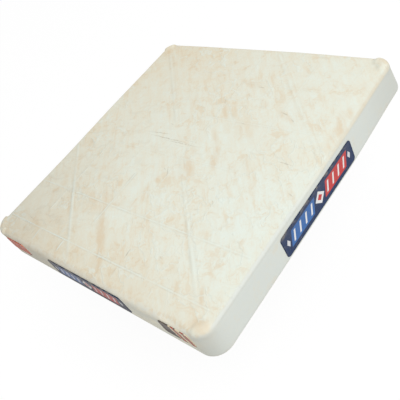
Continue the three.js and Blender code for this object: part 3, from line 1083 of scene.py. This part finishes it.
def ridge_lift(x, y, ridges):
    """Height of the ridges at a point, and how near the point is to a crest and to a foot."""
    lift = 0
    crest = 0
    foot = 0
    for x0, y0, x1, y1, width, rise, share in ridges:
        length = math.hypot(x1 - x0, y1 - y0)
        dx, dy = (x1 - x0) / length, (y1 - y0) / length
        across = abs((y - y0) * dx - (x - x0) * dy)
        if across > width:
            continue
        along = (x - x0) * dx + (y - y0) * dy
        ends = smooth(along, -RIDGE_END, RIDGE_END) * smooth(length - along, -RIDGE_END, RIDGE_END)
        kept = RIDGE_KEPT - RIDGE_LEAN * x / HALF
        patchy = RIDGE_MEAN + RIDGE_SWING * noise.noise((x / RIDGE_WEAR, y / RIDGE_WEAR, width))
        worn = share * ends * kept * patchy
        lift = max(lift, rise * worn * smooth(across, width / 2, RIDGE_CREST * width / 2))
        widths = across / width
        crest = max(crest, worn * smooth(widths, *CREST_MARK))
        foot = max(foot, worn * smooth(widths, *FOOT_START) * smooth(widths, *FOOT_END))
    return lift, crest, foot


def grid_stops(lines, reach):
    """Grid places from -reach to reach, with extra ones at the feet and crest of each ridge."""
    sections = (-1, -RIDGE_CREST, RIDGE_CREST, 1)
    extra = [line + side * LINE_WIDTH / 2 for line in lines for side in sections]
    count = round(2 * reach / GRID_STEP)
    even = [-reach + 2 * reach * i / count for i in range(count + 1)]
    kept = [stop for stop in even if min(abs(stop - line) for line in extra) > GRID_STEP / 2]
    return sorted(kept + extra)


def edge_radius(turn, share):
    """The edge's radius on a side, going over to the next side's along the corner after it."""
    here, following = EDGE_RADII[turn], EDGE_RADII[(turn + 1) % 4]
    return here + (following - here) * smooth(share, 0, 1)


def edge_section(radius):
    """Rows of the slab's outside as distance out, height and direction, from the flat top to the rim."""
    flat = CORNER_R - radius
    rows = [(flat * step / FLAT_STEPS, HEIGHT, 0, 1) for step in range(1, FLAT_STEPS + 1)]
    for step in range(1, EDGE_STEPS + 1):
        angle = math.radians(90 * (1 - step / EDGE_STEPS))
        out, up = math.cos(angle), math.sin(angle)
        rows.append((flat + radius * out, HEIGHT - radius + radius * up, out, up))
    for step in range(1, SIDE_STEPS + 1):
        rows.append((CORNER_R, HEIGHT - radius + (RIM_R - HEIGHT + radius) * step / SIDE_STEPS, 1, 0))
    for step in range(1, RIM_STEPS + 1):
        angle = math.radians(90 * step / RIM_STEPS)
        out, down = math.cos(angle), math.sin(angle)
        rows.append((CORNER_R - RIM_R + RIM_R * out, RIM_R - RIM_R * down, out, -down))
    return rows


def over_lip(x, y, z, lip_rise):
    """A point of the slab, pushed out to its corner's lip, and how near it is to the lip's foot."""
    sides = (math.copysign(1, x), math.copysign(1, y))
    radius, rise_share, inner_blend, start, full = LIPS[sides]
    out = Vector((abs(x), abs(y))) - Vector((HALF - CORNER_R, HALF - CORNER_R))
    held = smooth(min(out), start, full)
    if held == 0:
        return x, y, z, 0
    from_axis = max(out.length, MM)
    across = from_axis - (CORNER_R + LIP_OUT - radius)
    up = z - (HEIGHT + lip_rise * rise_share - radius)
    depth = max(math.hypot(across, up), MM)
    blend = LIP_BLEND + (inner_blend - LIP_BLEND) * smooth(-across, -radius, radius)
    grow = held * (soft_max(depth, radius, blend) / depth - 1)
    away = out * (across * grow / from_axis)
    inner = held * rise_share * smooth(-across, 0, radius / 2)
    foot = LIP_FOOT_SHADE * inner * smooth(abs(depth - radius), LIP_FOOT, LIP_FOOT / 4)
    return x + sides[0] * away.x, y + sides[1] * away.y, z + up * grow, foot


def pulled(x, y, z):
    """A point of the slab, moved with its corners, which use has drawn a little out of square."""
    back_left = (HALF - x) / (2 * HALF) * (y + HALF) / (2 * HALF)
    moved = Vector((x, y, z)) + Vector(PULL_BACK_LEFT) * back_left
    for (sx, sy), (foot, head) in PULLS.items():
        share = smooth(sx * x, PULL_START, HALF) * smooth(sy * y, PULL_START, HALF)
        moved += Vector(foot).lerp(Vector(head), z / HEIGHT) * share
    return moved


def worn_point(x, y, z, nx, ny, nz, wave):
    """A point of the slab with its slow waves, and the front edge rubbed down."""
    slow = noise.noise((x / WAVE_LENGTH, y / WAVE_LENGTH, z / WAVE_LENGTH))
    quick = noise.noise((x / DENT_LENGTH, y / DENT_LENGTH, z / DENT_LENGTH + DENT_SEED))
    depth = wave * (slow + DENT_SHARE * quick) * (nz + SIDE_WAVE_SHARE * (1 - nz) if nz >= 0 else 0)
    near_front = smooth(HALF + y, *FRONT_WEAR_INWARD)
    near_top = smooth(HEIGHT - z, *FRONT_WEAR_DOWN)
    clear_of_lips = smooth(HALF - abs(x), *FRONT_WEAR_CLEAR)
    drop = FRONT_WEAR * near_front * clear_of_lips * near_top
    return x + nx * depth, y + ny * depth, z + nz * depth - drop


def cover_top(shell, settings):
    """The top and sides of the cover; returns the ring of its rim."""
    wave = settings.wave / MM
    lip_rise = settings.lip_rise / MM
    ridges = top_ridges(settings)
    crest_layer = shell.mesh.verts.layers.float.new("ridge_crest")
    foot_layer = shell.mesh.verts.layers.float.new("ridge_foot")
    reach = HALF - CORNER_R
    lines = [at * PITCH for at, _, _ in LINES]
    xs = grid_stops(lines, reach)
    ys = grid_stops([-line for line in lines], reach)

    def vertex(x, y, z, nx=0, ny=0, nz=1):
        lift, crest, foot = ridge_lift(x, y, ridges) if nz == 1 else (0, 0, 0)
        *spot, lip_foot = over_lip(x, y, z + lift, lip_rise)
        vert = shell.mesh.verts.new(pulled(*worn_point(*spot, nx, ny, nz, wave)))
        vert[crest_layer] = crest
        vert[foot_layer] = max(foot, lip_foot)
        return vert

    grid = [[vertex(x, y, HEIGHT) for y in ys] for x in xs]
    for i in range(len(xs) - 1):
        for j in range(len(ys) - 1):
            shell.face((grid[i][j], grid[i + 1][j], grid[i + 1][j + 1], grid[i][j + 1]))

    border = []
    sides = (
        ([(reach, y) for y in ys], grid[-1]),
        ([(x, reach) for x in reversed(xs)], [column[-1] for column in reversed(grid)]),
        ([(-reach, y) for y in reversed(ys)], list(reversed(grid[0]))),
        ([(x, -reach) for x in xs], [column[0] for column in grid]),
    )
    for turn, (places, verts) in enumerate(sides):
        start = math.radians(90 * turn)
        for (x, y), vert in zip(places[1:-1], verts[1:-1]):
            border.append((x, y, start, edge_section(EDGE_RADII[turn]), vert))
        for step in range(CORNER_STEPS + 1):
            share = step / CORNER_STEPS
            angle = start + share * math.pi / 2
            border.append((*places[-1], angle, edge_section(edge_radius(turn, share)), verts[-1]))

    ring = [vert for *_, vert in border]
    for row in range(len(border[0][3])):
        following = []
        for x, y, angle, section, _ in border:
            out, z, n_out, n_up = section[row]
            cx, cy = math.cos(angle), math.sin(angle)
            following.append(vertex(x + cx * out, y + cy * out, z, n_out * cx, n_out * cy, n_up))
        shell.wall(ring, following)
        ring = following
    return ring


def waffle_cell(shell, x, y):
    """A drafted cell of the underside; returns the ring of its mouth."""
    reach = HALF - WALL
    half = (PITCH - RIB) / 2
    x0, x1 = max(x - half, -reach), min(x + half, reach)
    y0, y1 = max(y - half, -reach), min(y + half, reach)
    depth = HEIGHT - SKIN
    radii = []
    for cx, cy in ((x1, y1), (x0, y1), (x0, y0), (x1, y0)):
        outermost = abs(cx) == reach and abs(cy) == reach
        radii.append(CORNER_R - WALL if outermost else CELL_R)
    rings = []
    rows = (
        (-CELL_CHAMFER, 0),
        (0, CELL_CHAMFER),
        (DRAFT, depth - CELL_ROUND),
        (DRAFT + CELL_ROUND, depth),
    )
    for inset, z in rows:
        loop = rounded(x0 + inset, x1 - inset, y0 + inset, y1 - inset, [r - inset for r in radii])
        rings.append(shell.ring(loop, z))
    shell.skin(rings)
    shell.fill(rings[-1])
    return rings[0]


def hub_pockets(shell):
    """Room in the hub for the flange, bolts, plate and nuts; returns the ring of the flange's recess."""
    recess_half = FLANGE / 2 + FIT
    insert_half = INSERT / 2 + FIT
    flange_top = FLANGE_Z + FLANGE_T
    insert_top = INSERT_Z + INSERT_T
    hole_r = BOLT_R + HOLE_CLEARANCE
    nut_r = HEX_FLATS / math.sqrt(3) + HOLE_CLEARANCE
    recess = []
    for grow, z in ((CELL_CHAMFER, 0), (0, CELL_CHAMFER), (0, flange_top)):
        recess.append(shell.ring(square(recess_half + grow, PLATE_CORNER_R + grow, PLATE_STEPS), z))
    pocket = square(insert_half, PLATE_CORNER_R, PLATE_STEPS)
    plate_rings = [shell.ring(pocket, z) for z in (INSERT_Z, insert_top)]
    holes = []
    rooms = []
    for x, y in bolt_places():
        holes.append([shell.ring(circle(x, y, hole_r), z) for z in (flange_top, INSERT_Z)])
        rooms.append([shell.ring(circle(x, y, nut_r), z) for z in (insert_top, BOLT_TOP + HOLE_CLEARANCE)])
    shell.skin(recess)
    shell.skin(plate_rings)
    shell.fill(recess[-1], *[hole[0] for hole in holes])
    shell.fill(plate_rings[0], *[hole[1] for hole in holes])
    shell.fill(plate_rings[1], *[room[0] for room in rooms])
    for hole, room in zip(holes, rooms):
        shell.skin(hole)
        shell.skin(room)
        shell.fill(room[1])
    return recess[0]


def cover_underside(shell, rim):
    """The waffle, the hub and the flat faces of their ribs."""
    hub = INSERT / 2 + HUB_WALL
    mouths = []
    for i in range(CELLS):
        for j in range(CELLS):
            x = (i + 0.5) * PITCH - HALF
            y = (j + 0.5) * PITCH - HALF
            if max(abs(x), abs(y)) - (PITCH - RIB) / 2 >= hub:
                mouths.append(waffle_cell(shell, x, y))
    mouths.append(hub_pockets(shell))
    shell.fill(rim, *mouths)


def bolted_plate(size, low, thickness, edge):
    """A square plate with chamfered edges and a hole for each bolt."""
    shell = Shell()
    hole_r = BOLT_R + HOLE_CLEARANCE
    rows = ((edge, 0), (0, edge), (0, thickness - edge), (edge, thickness))
    outside = []
    for inset, z in rows:
        loop = square(size / 2 - inset, PLATE_CORNER_R - inset, PLATE_STEPS)
        outside.append(shell.ring(loop, low + z))
    shell.skin(outside)
    ends = [[outside[0]], [outside[-1]]]
    for x, y in bolt_places():
        hole = [shell.ring(circle(x, y, hole_r + inset), low + z) for inset, z in rows]
        shell.skin(hole)
        ends[0].append(hole[0])
        ends[1].append(hole[-1])
    for rings in ends:
        shell.fill(*rings)
    return shell


def stanchion(edge):
    """Square tube with a tapered lead at its lower end."""
    shell = Shell()
    half = POST / 2
    bore = half - POST_WALL
    low = -UNDERSIDE
    outside = (
        (half - POST_TAPER - edge, low),
        (half - POST_TAPER, low + edge),
        (half, low + POST_LEAD),
        (half, FLANGE_Z),
    )
    bored = ((bore, FLANGE_Z), (bore, low + edge), (bore + edge, low))
    rings = [shell.ring(square(reach, POST_CORNER_R, POST_STEPS), z) for reach, z in outside]
    rings += [shell.ring(square(reach, POST_BORE_R, POST_STEPS), z) for reach, z in bored]
    shell.skin(rings, looped=True)
    return shell


def weld_bead():
    """Fillet weld round the post, with the ripples of its passes."""
    shell = Shell()
    half = POST / 2 + FIT
    rings = []
    for row in range(WELD_ROWS + 1):
        share = row / WELD_ROWS
        out = WELD_TOE + (WELD_LEG - WELD_TOE) * share
        z = FLANGE_Z - WELD_LEG * (1 - share)
        bulge = math.sin(math.pi * share)
        loop = square(half + out, POST_CORNER_R + out, WELD_CORNER_STEPS, WELD_STEPS)
        ring = []
        for i, (x, y) in enumerate(loop):
            ripple = abs(math.sin(math.pi * (i / WELD_RIPPLE_STEPS + WELD_RIPPLE_LAG * bulge)))
            rough = noise.noise((x / WELD_ROUGH_SIZE, y / WELD_ROUGH_SIZE, z / WELD_ROUGH_SIZE))
            push = bulge * (WELD_BULGE + WELD_RIPPLE * ripple + WELD_ROUGH * rough)
            away = Vector((x, y)).normalized()
            ring.append(shell.mesh.verts.new((x + away.x * push, y + away.y * push, z - push)))
        rings.append(ring)
    inner = square(half, POST_CORNER_R, WELD_CORNER_STEPS, WELD_STEPS)
    rings += [shell.ring(inner, z) for z in (FLANGE_Z, FLANGE_Z - WELD_LEG)]
    shell.skin(rings, looped=True)
    return shell


def hexagon_reach(turn):
    """Distance from the middle to a hexagon's side, at an angle from one of its corners."""
    return HEX_FLATS / 2 / math.cos((turn % (math.pi / 3)) - math.pi / 6)


def turned_ring(shell, x, y, reach, z):
    """A ring about an upright axis, whose distance and height may vary with the angle."""
    ring = []
    for step in range(TURN_STEPS):
        turn = 2 * math.pi * step / TURN_STEPS
        away = reach(turn) if callable(reach) else reach
        height = z(turn) if callable(z) else z
        ring.append(shell.mesh.verts.new((x + away * math.cos(turn), y + away * math.sin(turn), height)))
    return ring


def turned_form(x, y, rows, looped=True):
    """A form about an upright axis, closed round its bore or filled at both ends."""
    shell = Shell()
    rings = [turned_ring(shell, x, y, reach, z) for reach, z in rows]
    if looped:
        shell.skin(rings, looped=True)
    else:
        shell.capped(rings)
    return shell


def hex_flank(low, high):
    """The circle of a hexagon's chamfers, and the curved edges that they leave below and above."""
    circle_r = HEX_FLATS / 2 * HEX_CHAMFER
    fall = math.tan(HEX_SLOPE)

    def lower(turn):
        return low + (hexagon_reach(turn) - circle_r) * fall

    def upper(turn):
        return high - (hexagon_reach(turn) - circle_r) * fall

    return circle_r, lower, upper


def flange_bolt(x, y, pitch, edge):
    """Hexagon bolt, head down, with a rolled thread."""
    head_top = HEAD_Z + HEAD_T
    dish_r, dish_edge_r = HEAD_DISH
    circle_r, lower, _ = hex_flank(HEAD_Z, head_top)
    rows = [
        (dish_r, HEAD_Z + edge),
        (dish_edge_r, HEAD_Z),
        (circle_r, HEAD_Z),
        (hexagon_reach, lower),
        (hexagon_reach, head_top - edge),
        (circle_r, head_top - edge),
        (circle_r, head_top),
        (BOLT_R, head_top),
        (BOLT_R, THREAD_START),
    ]
    depth = THREAD_DEPTH * pitch
    count = int((BOLT_TOP - BOLT_POINT - THREAD_START) / pitch * THREAD_STEPS)
    for step in range(1, count + 1):
        z = THREAD_START + step * pitch / THREAD_STEPS
        fade = smooth(step, 0, THREAD_FADE * THREAD_STEPS)

        def threaded(turn, z=z, fade=fade):
            phase = (z / pitch - turn / (2 * math.pi)) % 1
            return BOLT_R - depth * fade * abs(2 * phase - 1)

        rows.append((threaded, z))
    rows.append((BOLT_R - depth - BOLT_POINT_INSET, BOLT_TOP))
    return turned_form(x, y, rows, looped=False)


def weld_nut(x, y, edge):
    """Hexagon nut on the plate."""
    low = INSERT_Z + INSERT_T
    high = low + NUT_T
    bore = BOLT_R + FIT
    circle_r, lower, upper = hex_flank(low, high)
    rows = (
        (bore + edge, low),
        (circle_r, low),
        (hexagon_reach, lower),
        (hexagon_reach, upper),
        (circle_r, high),
        (bore + edge, high),
        (bore, high - edge),
        (bore, low + edge),
    )
    return turned_form(x, y, rows)


def flat_washer(x, y, edge):
    """Flat washer on the flange, with its punched edge."""
    low, high = FLANGE_Z - WASHER_T, FLANGE_Z
    bore = BOLT_R + FIT
    rows = (
        (bore, low),
        (WASHER_R - edge, low),
        (WASHER_R, low + edge),
        (WASHER_R, high),
        (bore + edge, high),
        (bore, high - edge),
    )
    return turned_form(x, y, rows)


def lock_washer(x, y, edge):
    """Spring washer with its slanted split."""
    shell = Shell()
    low = HEAD_Z + HEAD_T
    high = low + LOCK_T
    bore = BOLT_R + FIT
    section = (
        (bore + edge, low),
        (LOCK_R - edge, low),
        (LOCK_R, low + edge),
        (LOCK_R, high - edge),
        (LOCK_R - edge, high),
        (bore + edge, high),
        (bore, high - edge),
        (bore, low + edge),
    )
    sections = []
    for step in range(TURN_STEPS + 1):
        turn = LOCK_SPLIT + (2 * math.pi - 2 * LOCK_SPLIT) * step / TURN_STEPS
        ring = []
        for reach, z in section:
            slant = turn + LOCK_SLANT * (z - (low + high) / 2) / LOCK_T
            ring.append(shell.mesh.verts.new((x + reach * math.cos(slant), y + reach * math.sin(slant), z)))
        sections.append(ring)
    shell.capped(sections)
    return shell


def label_form(length, width, radius, thickness):
    """A stuck-on label lying on its back, with a rounded edge and a raised rim."""
    shell = Shell()
    rows = (
        (0, -LABEL_SINK),
        (0, thickness - LABEL_ROUND),
        (LABEL_ROUND / 2, thickness - LABEL_ROUND / 4),
        (LABEL_ROUND * 1.5, thickness),
        (LABEL_RIM, thickness),
        (LABEL_RIM + LABEL_RIM_SLOPE, thickness - LABEL_DIP),
    )
    rings = []
    for inset, z in rows:
        x, y = length / 2 - inset, width / 2 - inset
        loop = rounded(-x, x, -y, y, [radius - inset] * 4, LABEL_STEPS)
        rings.append(shell.ring(loop, z))
    shell.capped(rings)
    return shell


def label_spot(x, y, z, turn):
    """Where a label stands: upright, its face towards -Y before the turn."""
    at = Matrix.Translation((x * MM, y * MM, (UNDERSIDE + z) * MM))
    return at @ Matrix.Rotation(math.radians(turn), 4, "Z") @ Matrix.Rotation(math.radians(90), 4, "X")


class BASE_OT_cover(bpy.types.Operator):
    """Mould the rubber cover with its lips, ridges and waffle"""

    bl_idname = "ballbase.cover"
    bl_label = "Rubber cover"

    def execute(self, context):
        settings = context.scene.base_rubber
        shell = Shell()
        rim = cover_top(shell, settings)
        cover_underside(shell, rim)
        shell.piece("base_cover", "white_rubber", rubber_finish(settings))
        return {"FINISHED"}


class BASE_OT_mount(bpy.types.Operator):
    """Make the two plates, the post and its weld"""

    bl_idname = "ballbase.mount"
    bl_label = "Steel mount"

    def execute(self, context):
        settings = context.scene.base_mount
        edge = settings.edge / MM
        plate = plate_finish(settings)
        bolted_plate(INSERT, INSERT_Z, INSERT_T, edge).piece("insert_plate", "plain_steel", plate)
        bolted_plate(FLANGE, FLANGE_Z, FLANGE_T, edge).piece("flange_plate", "plain_steel", plate)
        stanchion(edge).piece("stanchion_post", "galvanised_steel", galvanised_finish(settings))
        weld_bead().piece("post_weld", "weld_steel", weld_finish(settings))
        return {"FINISHED"}


class BASE_OT_fasteners(bpy.types.Operator):
    """Make the bolts, washers and nuts that hold the flange"""

    bl_idname = "ballbase.fasteners"
    bl_label = "Fasteners"

    def execute(self, context):
        settings = context.scene.base_mount
        edge = settings.edge / MM
        pitch = settings.thread_pitch / MM
        zinc = zinc_finish(settings)
        for number, (x, y) in enumerate(bolt_places(), 1):
            made = {
                "flange_bolt": flange_bolt(x, y, pitch, edge),
                "lock_washer": lock_washer(x, y, edge),
                "flat_washer": flat_washer(x, y, edge),
                "weld_nut": weld_nut(x, y, edge),
            }
            for kind, shell in made.items():
                shell.piece(f"{kind}_{number}", "zinc_steel", zinc)
        return {"FINISHED"}


class BASE_OT_patches(bpy.types.Operator):
    """Make the printed patches of the front and right sides"""

    bl_idname = "ballbase.patches"
    bl_label = "Side patches"

    def execute(self, context):
        patches = {
            "side_patch_front": ((0, -HALF, FRONT_PATCH_Z, 0), FRONT_DUST),
            "side_patch_right": ((HALF, 0, RIGHT_PATCH_Z, 90), RIGHT_DUST),
        }
        for name, (spot, dusty) in patches.items():
            finish = patch_finish(context.scene.base_labels, name + "_print", dusty)
            label_form(*PATCH).piece(name, "printed_navy", finish, label_spot(*spot))
        return {"FINISHED"}


class BASE_OT_decals(bpy.types.Operator):
    """Make the decals near the ends of the front side"""

    bl_idname = "ballbase.decals"
    bl_label = "Corner decals"

    def execute(self, context):
        settings = context.scene.base_labels
        brick, brown, sand = settings.brick, settings.brown, settings.sand
        left = (brick, brick, LEFT_JOIN, settings.orange, dimmed(brick, 0.3))
        right = (brown, sand, RIGHT_JOIN, brick, brown)
        left_finish = decal_finish("left_decal_print", *left, settings.faded)
        right_finish = decal_finish("right_decal_print", *right, settings.faded)
        left_spot = label_spot(-DECAL_REACH, -HALF, DECAL_Z, 0)
        right_spot = label_spot(DECAL_REACH, -HALF, DECAL_Z, 0)
        label_form(*DECAL).piece("corner_decal_left", "printed_red", left_finish, left_spot)
        label_form(*DECAL).piece("corner_decal_right", "printed_brown", right_finish, right_spot)
        return {"FINISHED"}


def seen_directly(shader):
    """1 for what the camera, a reflection or a clear surface looks at."""
    kinds = ("Is Camera Ray", "Is Glossy Ray", "Is Transmission Ray")
    camera, glossy, clear = [shader.node("ShaderNodeLightPath", output=kind) for kind in kinds]
    return camera.over(glossy).over(clear)


def studio_floor(settings):
    """White floor that takes a faint shadow and is clear from below."""
    shader = new_finish("studio_floor")
    speck = shader.grain(shader.millimetres(), FLOOR_SPECK)
    paint = shader.mix(speck, dimmed(settings.floor, FLOOR_SPECK_LEVEL), settings.floor)
    diffuse = shader.node("ShaderNodeBsdfDiffuse", None, {"Color": paint})
    pure = shader.node("ShaderNodeBsdfDiffuse", None, {"Color": WHITE})
    strength = (1 - settings.shadow * settings.floor_light) / (1 - settings.shadow)
    glow = shader.node("ShaderNodeEmission", None, {"Color": WHITE, "Strength": strength})
    white = shader.node("ShaderNodeMixShader", None, {0: settings.shadow, 1: glow, 2: pure})
    lit = shader.node("ShaderNodeMixShader", None, {0: seen_directly(shader), 1: diffuse, 2: white})
    from_below = shader.node("ShaderNodeNewGeometry", output="Backfacing")
    clear = shader.node("ShaderNodeBsdfTransparent")
    shader.output(shader.node("ShaderNodeMixShader", None, {0: from_below, 1: lit, 2: clear}))
    reach = FLOOR_SIDE / 2
    data = bpy.data.meshes.new("studio_floor")
    corners = [(sx * reach, sy * reach, 0) for sx, sy in CORNERS]
    data.from_pydata(corners, [], [(0, 1, 2, 3)])
    data.materials.append(shader.owner)
    floor = bpy.data.objects.new("studio_floor", data)
    bpy.context.scene.collection.objects.link(floor)


def studio_world(settings):
    """Even light from all round, seen as white."""
    world = bpy.data.worlds.new("white_studio")
    shader = Shader(world)
    light = shader.node("ShaderNodeBackground", None, {"Color": WHITE, "Strength": settings.ambient})
    white = shader.node("ShaderNodeBackground", None, {"Color": WHITE, "Strength": 1})
    mixed = shader.node("ShaderNodeMixShader", None, {0: seen_directly(shader), 1: light, 2: white})
    shader.output(mixed, "ShaderNodeOutputWorld")
    bpy.context.scene.world = world


def studio_lamp(settings):
    """One soft lamp, high on the right."""
    data = bpy.data.lights.new("soft_lamp", "AREA")
    data.shape = "SQUARE"
    data.size = settings.lamp_size
    data.energy = settings.lamp_power
    lamp = bpy.data.objects.new("soft_lamp", data)
    lamp.location = LAMP_AT
    aim = Vector(LAMP_AIM) - Vector(LAMP_AT)
    lamp.rotation_euler = aim.to_track_quat("-Z", "Y").to_euler()
    bpy.context.scene.collection.objects.link(lamp)


def studio_camera(settings):
    """The photograph's view."""
    data = bpy.data.cameras.new("photo_camera")
    data.sensor_width = CAMERA_SENSOR
    data.lens = settings.lens
    camera = bpy.data.objects.new("photo_camera", data)
    right, up = Vector(CAMERA_RIGHT), Vector(CAMERA_UP)
    turn = Matrix((right, up, right.cross(up))).transposed()
    camera.matrix_world = Matrix.Translation(CAMERA_AT) @ turn.to_4x4()
    bpy.context.scene.collection.objects.link(camera)
    bpy.context.scene.camera = camera


class BASE_OT_stage(bpy.types.Operator):
    """Set up the floor, the light and the camera"""

    bl_idname = "ballbase.stage"
    bl_label = "Studio"

    def execute(self, context):
        settings = context.scene.base_stage
        context.scene.view_settings.view_transform = "Standard"
        studio_camera(settings)
        studio_world(settings)
        studio_lamp(settings)
        studio_floor(settings)
        return {"FINISHED"}


class BASE_PT_panel(bpy.types.Panel):
    """Lists the base's pieces"""

    bl_idname = "BASE_PT_panel"
    bl_label = "Baseball base"
    bl_space_type = "VIEW_3D"
    bl_region_type = "UI"
    bl_category = "Base"

    def draw(self, context):
        for operator in OPERATORS:
            self.layout.operator(operator.bl_idname)
        for name in SETTINGS:
            group = getattr(context.scene, name)
            box = self.layout.box()
            for key in group.bl_rna.properties.keys():
                if key not in ("rna_type", "name"):
                    box.prop(group, key)


SETTINGS = {
    "base_rubber": RubberSettings,
    "base_mount": MountSettings,
    "base_labels": LabelSettings,
    "base_stage": StageSettings,
}
OPERATORS = (
    BASE_OT_stage,
    BASE_OT_cover,
    BASE_OT_mount,
    BASE_OT_fasteners,
    BASE_OT_patches,
    BASE_OT_decals,
)


def register():
    for name, group in SETTINGS.items():
        bpy.utils.register_class(group)
        setattr(bpy.types.Scene, name, bpy.props.PointerProperty(type=group))
    for part in (*OPERATORS, BASE_PT_panel):
        bpy.utils.register_class(part)


def unregister():
    for part in reversed((*OPERATORS, BASE_PT_panel)):
        bpy.utils.unregister_class(part)
    for name, group in SETTINGS.items():
        delattr(bpy.types.Scene, name)
        bpy.utils.unregister_class(group)


def main():
    register()
    bpy.ops.ballbase.stage()
    bpy.ops.ballbase.cover()
    bpy.ops.ballbase.mount()
    bpy.ops.ballbase.fasteners()
    bpy.ops.ballbase.patches()
    bpy.ops.ballbase.decals()


if __name__ == "__main__":
    main()
